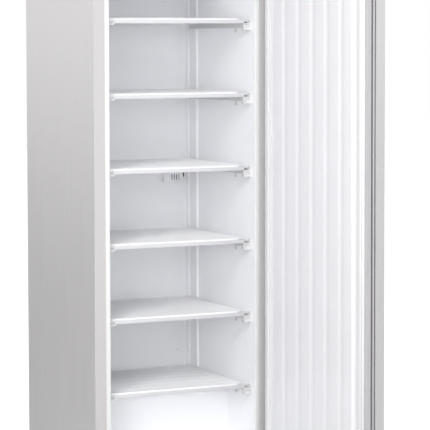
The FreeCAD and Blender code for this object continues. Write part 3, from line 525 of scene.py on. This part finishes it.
firstTube = evaporatorTube(tubeNodes[0])
for index, name in enumerate(tubeNodes):
    tube = copyBy(firstTube, "shelfTube_%d" % (index + 1), liftTo(index))
    finishPiece(tube, "cabinet", "tube_white", [name], smooth=60)
bpy.data.objects.remove(firstTube)
print("evaporator tubes")

deckLook = {"wireRadius": 0.0009, "wireSides": 6, "wirePitch": 0.00545}


def shelfWires():
    low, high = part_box("deck_wires")
    tubeTop = shelfBoxes[0][1].z
    radius = deckLook["wireRadius"]
    centre = (low.x + radius, (low.y + high.y) / 2, tubeTop + radius)
    span = high.x - low.x - 2 * radius
    row = wireRow(centre, high.y - low.y, math.radians(90), deckLook, span)
    return onEveryShelf(row, "deckWires")


finishPiece(shelfWires(), "cabinet", "wire_white", ["deck_wires"], smooth=60)
print("deck wires")

stripLook = {
    "height": 0.0115,
    "thickness": 0.003,
    "lip": 0.018,
    "lipThickness": 0.002,
    "lipRise": 0.0055,
    "edge": 0.0006,
}


def frontStrips():
    look = stripLook
    low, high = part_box("shelf_front_strips")
    lipTop = shelfBoxes[0][0].z
    lipLow = lipTop - look["lipThickness"]
    base = lipLow - look["lipRise"]
    back = low.y + look["thickness"]
    strip = newBlock("strip", (low.x, low.y, base), (high.x, back, base + look["height"]))
    # the lip that goes back under the tube
    cutAcross(strip, (0, 0, 1), (lipLow, lipTop))
    pickFaces(strip, lambda centre, normal: normal.y > facing and lipLow < centre.z < lipTop)
    bpy.ops.mesh.extrude_region_move(
        TRANSFORM_OT_translate={"value": (0, look["lip"] - look["thickness"], 0)})
    bpy.ops.object.mode_set(mode="OBJECT")
    roundEdges(strip, look["edge"], 2)
    return onEveryShelf(strip, "shelfStrips")


finishPiece(frontStrips(), "cabinet", "strip_plastic", ["shelf_front_strips"])
print("front strips")


copyLook = {"segments": 2, "edgeAngle": 35, "mergeWithin": 0.00001, "flatWithin": 1}


def softCopy(node, name, width):
    # a merged copy of a piece of the frame, with its edges broken
    piece = bpy.data.objects.new(name, nodes[node].data.copy())
    bpy.context.scene.collection.objects.link(piece)
    makeActive(piece)
    bpy.ops.mesh.customdata_custom_splitnormals_clear()
    bpy.ops.object.mode_set(mode="EDIT")
    bpy.ops.mesh.select_all(action="SELECT")
    bpy.ops.mesh.remove_doubles(threshold=copyLook["mergeWithin"])
    bpy.ops.mesh.dissolve_limited(angle_limit=math.radians(copyLook["flatWithin"]))
    bpy.ops.object.mode_set(mode="OBJECT")
    roundEdges(piece, width, copyLook["segments"], copyLook["edgeAngle"])
    return piece


brokenEdges = {
    "opening_trim": ("openingTrim", "cabinet", "trim_white", 0.0008),
    "left_front_clips": ("leftFrontClips", "cabinet", "clip_plastic", 0.0006),
    "right_front_clips": ("rightFrontClips", "cabinet", "clip_plastic", 0.0006),
    "side_rails": ("sideRails", "cabinet", "clip_plastic", 0.0004),
    "rear_clips": ("rearClips", "cabinet", "clip_plastic", 0.0006),
    "probe_cover": ("probeCover", "cabinet", "liner_white", 0.0003),
    "controller_bezel": ("controllerBezel", "cabinet", "bezel_plastic", 0.0007),
    "plinth_grille": ("plinthGrille", "cabinet", "plinth_plastic", 0.0006),
    "terminal_box": ("terminalBox", "cabinet", "terminal_plastic", 0.0020),
    "door_gasket": ("doorGasket", "door", "gasket_rubber", 0.0005),
    "door_bottom_cap": ("doorBottomCap", "door", "cap_plastic", 0.0008),
    "door_top_cap": ("doorTopCap", "door", "cap_plastic", 0.0008),
}
for node, (name, body, slotName, width) in brokenEdges.items():
    finishPiece(softCopy(node, name, width), body, slotName, [node], smooth=40)
print("edges broken on the mouldings")

doorLook = {
    "openAngle": 91.0,
    "hinge": (0.593, -0.026),
    "low": 0.112,
    "high": 1.728,
    "face": -0.014,
}


def swingOpen(piece):
    # the door's own pieces are drawn shut, then turned about the hinge to where it stands
    hinge = place(*doorLook["hinge"], 0.0)
    angle = math.radians(doorLook["openAngle"])
    piece.rotation_euler = (0, 0, angle)
    piece.location = hinge - Matrix.Rotation(angle, 3, "Z") @ hinge
    setOrigin(piece)


doorLinerLook = {
    "left": 0.012,
    "right": 0.588,
    "wall": 0.002,
    "border": 0.048,
    "rise": 0.009,
    "draft": 0.006,
    "grooves": 5,
    "groovePitch": 0.0851,
    "grooveMiddle": 0.3000,
    "grooveWidth": 0.030,
    "grooveDepth": 0.0018,
    "grooveDraft": 0.008,
    "cornerRadius": 0.0035,
    "cornerSegments": 5,
    "cornerAngle": 12,
}


def doorLiner():
    look = doorLinerLook
    low = place(look["left"], doorLook["face"], doorLook["low"])
    high = place(look["right"], doorLook["face"], doorLook["high"])
    clearAll()
    bpy.ops.mesh.primitive_plane_add(
        size=1, location=(low + high) / 2, rotation=(math.radians(-90), 0, 0))
    liner = bpy.context.object
    liner.scale = (high.x - low.x, high.z - low.z, 1)
    setOrigin(liner)
    # the raised field, drafted at its four sides
    pickFaces(liner, lambda centre, normal: True)
    bpy.ops.mesh.inset(thickness=look["border"])
    bpy.ops.mesh.inset(thickness=look["draft"], depth=look["rise"])
    bpy.ops.object.mode_set(mode="OBJECT")
    # upright grooves: the crest is cut into strips, and the middle ones are set back
    half = look["grooveWidth"] / 2
    floorHalf = half - look["grooveDraft"]
    middles = []
    for index in range(look["grooves"]):
        offset = (index - (look["grooves"] - 1) / 2) * look["groovePitch"]
        middles.append(place(look["grooveMiddle"] + offset, 0, 0).x)
    for middle in middles:
        cuts = (middle - half, middle - floorHalf, middle + floorHalf, middle + half)
        cutAcross(liner, (1, 0, 0), cuts)
    crest = low.y + look["rise"]
    pickFaces(liner, lambda centre, normal: abs(centre.y - crest) < sameLevel and any(
        abs(centre.x - middle) < floorHalf for middle in middles))
    bpy.ops.transform.translate(value=(0, -look["grooveDepth"], 0))
    bpy.ops.object.mode_set(mode="OBJECT")
    roundEdges(liner, look["cornerRadius"], look["cornerSegments"], look["cornerAngle"])
    wall = liner.modifiers.new("wall", "SOLIDIFY")
    wall.thickness = look["wall"]
    wall.offset = -1
    applyAll(liner)
    liner.name = "doorLiner"
    swingOpen(liner)
    return liner


finishPiece(doorLiner(), "door", "door_liner_white", ["door_liner"], smooth=30)

doorFoamLook = {"pressedBack": 0.011, "coreFrom": 0.001, "edge": 0.0004}


def doorFoam():
    # the foam's raised core is pressed back behind the modelled liner
    look = doorFoamLook
    foam = softCopy("door_foam", "doorFoam", look["edge"])
    angle = math.radians(doorLook["openAngle"])
    inward = Matrix.Rotation(angle, 3, "Z") @ Vector((0, -1, 0))
    faceFromHinge = doorLook["face"] - doorLook["hinge"][1]
    base = place(*doorLook["hinge"], 0) - inward * (faceFromHinge + look["coreFrom"])
    pickFaces(foam, lambda centre, normal: (centre - base).dot(inward) < 0)
    bpy.ops.transform.translate(value=inward * look["pressedBack"])
    bpy.ops.object.mode_set(mode="OBJECT")
    return foam


finishPiece(doorFoam(), "door", "foam", ["door_foam"])
print("door liner")

edgeBeadLook = {
    "middle": -0.0402,
    "width": 0.0058,
    "crest": 0.0024,
    "root": 0.014,
    "radius": 0.0012,
}


def edgeBead():
    # the rib that runs down the middle of the grip channel
    look = edgeBeadLook
    half = look["width"] / 2
    bead = newBlock(
        "edgeBead",
        place(look["crest"], look["middle"] - half, doorLook["low"]),
        place(look["root"], look["middle"] + half, doorLook["high"]),
    )
    front = place(look["crest"], 0, 0).x
    pickFaces(bead, lambda centre, normal: abs(centre.x - front) < sameLevel)
    bpy.ops.mesh.inset(thickness=look["radius"] / 2)
    bpy.ops.transform.translate(value=(-look["radius"] / 2, 0, 0))
    bpy.ops.object.mode_set(mode="OBJECT")
    roundEdges(bead, look["radius"] / 2, 3)
    swingOpen(bead)
    return bead


finishPiece(edgeBead(), "door", "edge_metal", [])
print("edge bead")

probeLook = {
    "inset": 0.0022,
    "setBack": 0.0033,
    "thickness": 0.001,
    "step": 0.0011,
    "edge": 0.0003,
}


def paintedProbeShade():
    # a dark plate behind the cover's slots: painted shade that stands for the shadow inside the
    # cover
    look = probeLook
    low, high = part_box("probe_cover")
    inset = look["inset"]
    front = low.y + look["setBack"]
    plate = newBlock(
        "paintedProbeShade",
        (low.x + inset, front, low.z + inset),
        (high.x - inset, front + look["thickness"], high.z - inset),
    )
    pickFaces(plate, lambda centre, normal: normal.y < -facing)
    bpy.ops.mesh.inset(thickness=inset)
    bpy.ops.mesh.extrude_region_move(TRANSFORM_OT_translate={"value": (0, -look["step"], 0)})
    bpy.ops.object.mode_set(mode="OBJECT")
    roundEdges(plate, look["edge"], 2)
    return plate


# painted shade: the dark plate inside the probe cover stands for the shadow behind its slots
finishPiece(paintedProbeShade(), "cabinet", "cable_black", [])
print("probe")

condenserLook = {
    "sides": 10,
    "passes": 14,
    "bendSteps": 8,
    "wirePitch": 0.0085,
    "wireRadius": 0.0008,
    "wireSides": 6,
}


def condenserTube():
    low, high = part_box("condenser_tube")
    radius = (high.y - low.y) / 2
    y = (high.y + low.y) / 2
    left, right = low.x + radius, high.x - radius
    bottom, top = low.z + radius, high.z - radius
    passes = condenserLook["passes"]
    steps = condenserLook["bendSteps"]
    pitch = (top - bottom) / (passes - 1)
    bend = pitch / 2
    tube = startTube("condenserTube", (left, y, bottom), (1, 0, 0), radius, condenserLook["sides"])
    runTube((right - bend - left, 0, 0))
    for index in range(passes - 1):
        z = bottom + pitch * (index + 0.5)
        if index % 2:
            bendTube((left + bend, y, z), (0, 1, 0), 180, steps)
            runTube((right - left - 2 * bend, 0, 0))
        else:
            bendTube((right - bend, y, z), (0, 1, 0), -180, steps)
            end = left if index == passes - 2 else left + bend
            runTube((end - right + bend, 0, 0))
    endTube()
    return tube


finishPiece(condenserTube(), "cabinet", "condenser_paint", ["condenser_tube"], smooth=60)


def condenserWires():
    low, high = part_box("condenser_wires")
    radius = condenserLook["wireRadius"]
    centre = (low.x + radius, low.y + radius, (low.z + high.z) / 2)
    span = high.x - low.x - 2 * radius
    row = wireRow(centre, high.z - low.z, 0.0, condenserLook, span)
    row.name = "condenserWires"
    return row


finishPiece(condenserWires(), "cabinet", "condenser_paint", ["condenser_wires"], smooth=60)
print("condenser wires")


def softLamp(name, location, target, size, power):
    clearAll()
    bpy.ops.object.light_add(type="AREA", location=location)
    lamp = bpy.context.object
    lamp.name = name
    lamp.data.shape = "RECTANGLE"
    lamp.data.size, lamp.data.size_y = size
    lamp.data.energy = power
    lamp.rotation_euler = (Vector(target) - Vector(location)).to_track_quat("-Z", "Y").to_euler()
    lamp.visible_glossy = False


roomLook = {
    "floorSize": 40.0,
    "floorTone": tone(212, 212, 212),
    "floorRoughness": 0.9,
    "ambient": 0.34,
    "backdrop": 1.0,
    "skyInMetal": 1.2,
    "floorGlow": 0.85,
    "floorGlowInMetal": 0.05,
}


def glowFor(tree, weights):
    # the largest of the glows that the kinds of ray ask for
    path = tree.nodes.new("ShaderNodeLightPath")
    total = None
    for ray, key in weights.items():
        share = tree.nodes.new("ShaderNodeMath")
        share.operation = "MULTIPLY"
        share.inputs[1].default_value = roomLook[key]
        tree.links.new(path.outputs[ray], share.inputs[0])
        if total is None:
            total = share.outputs[0]
            continue
        both = tree.nodes.new("ShaderNodeMath")
        both.operation = "MAXIMUM"
        tree.links.new(total, both.inputs[0])
        tree.links.new(share.outputs[0], both.inputs[1])
        total = both.outputs[0]
    return total


def buildRoom():
    clearAll()
    bpy.ops.mesh.primitive_plane_add(size=roomLook["floorSize"], location=(0, 0, 0))
    floor = bpy.context.object
    floor.name = "floor"
    paint = bpy.data.materials.new("floorPaint")
    paint.use_nodes = True
    tree = paint.node_tree
    shader = tree.nodes["Principled BSDF"]
    shader.inputs["Base Color"].default_value = roomLook["floorTone"]
    shader.inputs["Roughness"].default_value = roomLook["floorRoughness"]
    glow = tree.nodes.new("ShaderNodeEmission")
    glow.inputs["Color"].default_value = (1, 1, 1, 1)
    weights = {
        "Is Camera Ray": "floorGlow", "Is Glossy Ray": "floorGlowInMetal",
        "Is Transmission Ray": "floorGlow",
    }
    tree.links.new(glowFor(tree, weights), glow.inputs["Strength"])
    add = tree.nodes.new("ShaderNodeAddShader")
    tree.links.new(shader.outputs["BSDF"], add.inputs[0])
    tree.links.new(glow.outputs["Emission"], add.inputs[1])
    tree.links.new(add.outputs[0], tree.nodes["Material Output"].inputs["Surface"])
    floor.data.materials.append(paint)

    world = bpy.data.worlds.new("studio")
    bpy.context.scene.world = world
    world.use_nodes = True
    tree = world.node_tree
    sky = tree.nodes["Background"]
    sky.inputs["Color"].default_value = (1, 1, 1, 1)
    weights = {
        "Is Camera Ray": "backdrop", "Is Transmission Ray": "backdrop",
        "Is Glossy Ray": "skyInMetal", "Is Diffuse Ray": "ambient",
    }
    tree.links.new(glowFor(tree, weights), sky.inputs["Strength"])


buildRoom()
print("room")

# each lamp's place and aim in the cabinet's metres, its two sides and its watts
lamps = {
    "keyLamp": ((-1.63, -2.34, 4.6), (0.3, 0.1, 1.2), (1.0, 1.0), 12),
    "shoulderLamp": ((-2.6, -2.6, 3.2), (0.3, 0.1, 1.2), (1.2, 1.2), 42),
    "leftLamp": ((-2.4, -3.05, 1.3), (0.4, 0.1, 1.1), (1.6, 1.6), 58),
    "highLamp": ((-0.6, -3.2, 2.9), (0.4, 0.1, 0.9), (1.6, 1.2), 42),
    "frontLamp": ((0.6, -3.8, 1.1), (0.3, 0.3, 1.0), (2.2, 1.8), 22),
    "topLamp": ((0.3, -1.6, 4.4), (0.3, 0.1, 1.0), (1.6, 1.6), 12),
}
for name, (location, target, size, power) in lamps.items():
    softLamp(name, place(*location), place(*target), size, power)
print("lamps")

cameraLook = {
    "focusInPixels": 2145.6,
    "pictureInPixels": 430,
    "sensor": 36.0,
    "yaw": 26.278,
    "pitch": -3.574,
    "roll": -0.119,
    "place": (-2.5465, -5.9842, 1.4621),
    "shift": -0.1047,
}


def buildCamera():
    clearAll()
    bpy.ops.object.camera_add(location=place(*cameraLook["place"]))
    camera = bpy.context.object
    camera.name = "photoCamera"
    camera.data.sensor_width = cameraLook["sensor"]
    focusShare = cameraLook["focusInPixels"] / cameraLook["pictureInPixels"]
    camera.data.lens = focusShare * cameraLook["sensor"]
    camera.data.shift_y = cameraLook["shift"]
    yaw = math.radians(cameraLook["yaw"])
    pitch = math.radians(cameraLook["pitch"])
    roll = math.radians(cameraLook["roll"])
    ahead = Vector((math.sin(yaw), math.cos(yaw), 0))
    forward = ahead * math.cos(pitch) + Vector((0, 0, math.sin(pitch)))
    level = Vector((math.cos(yaw), -math.sin(yaw), 0))
    rise = level.cross(forward)
    right = level * math.cos(roll) + rise * math.sin(roll)
    upward = rise * math.cos(roll) - level * math.sin(roll)
    turn = camera.matrix_world.to_3x3()
    for index, axis in enumerate((right, upward, -forward)):
        turn.col[index] = axis
    camera.rotation_euler = turn.to_euler()
    bpy.context.scene.camera = camera


buildCamera()
print("camera")
bpy.context.scene.view_settings.view_transform = "Standard"

print("scene complete")
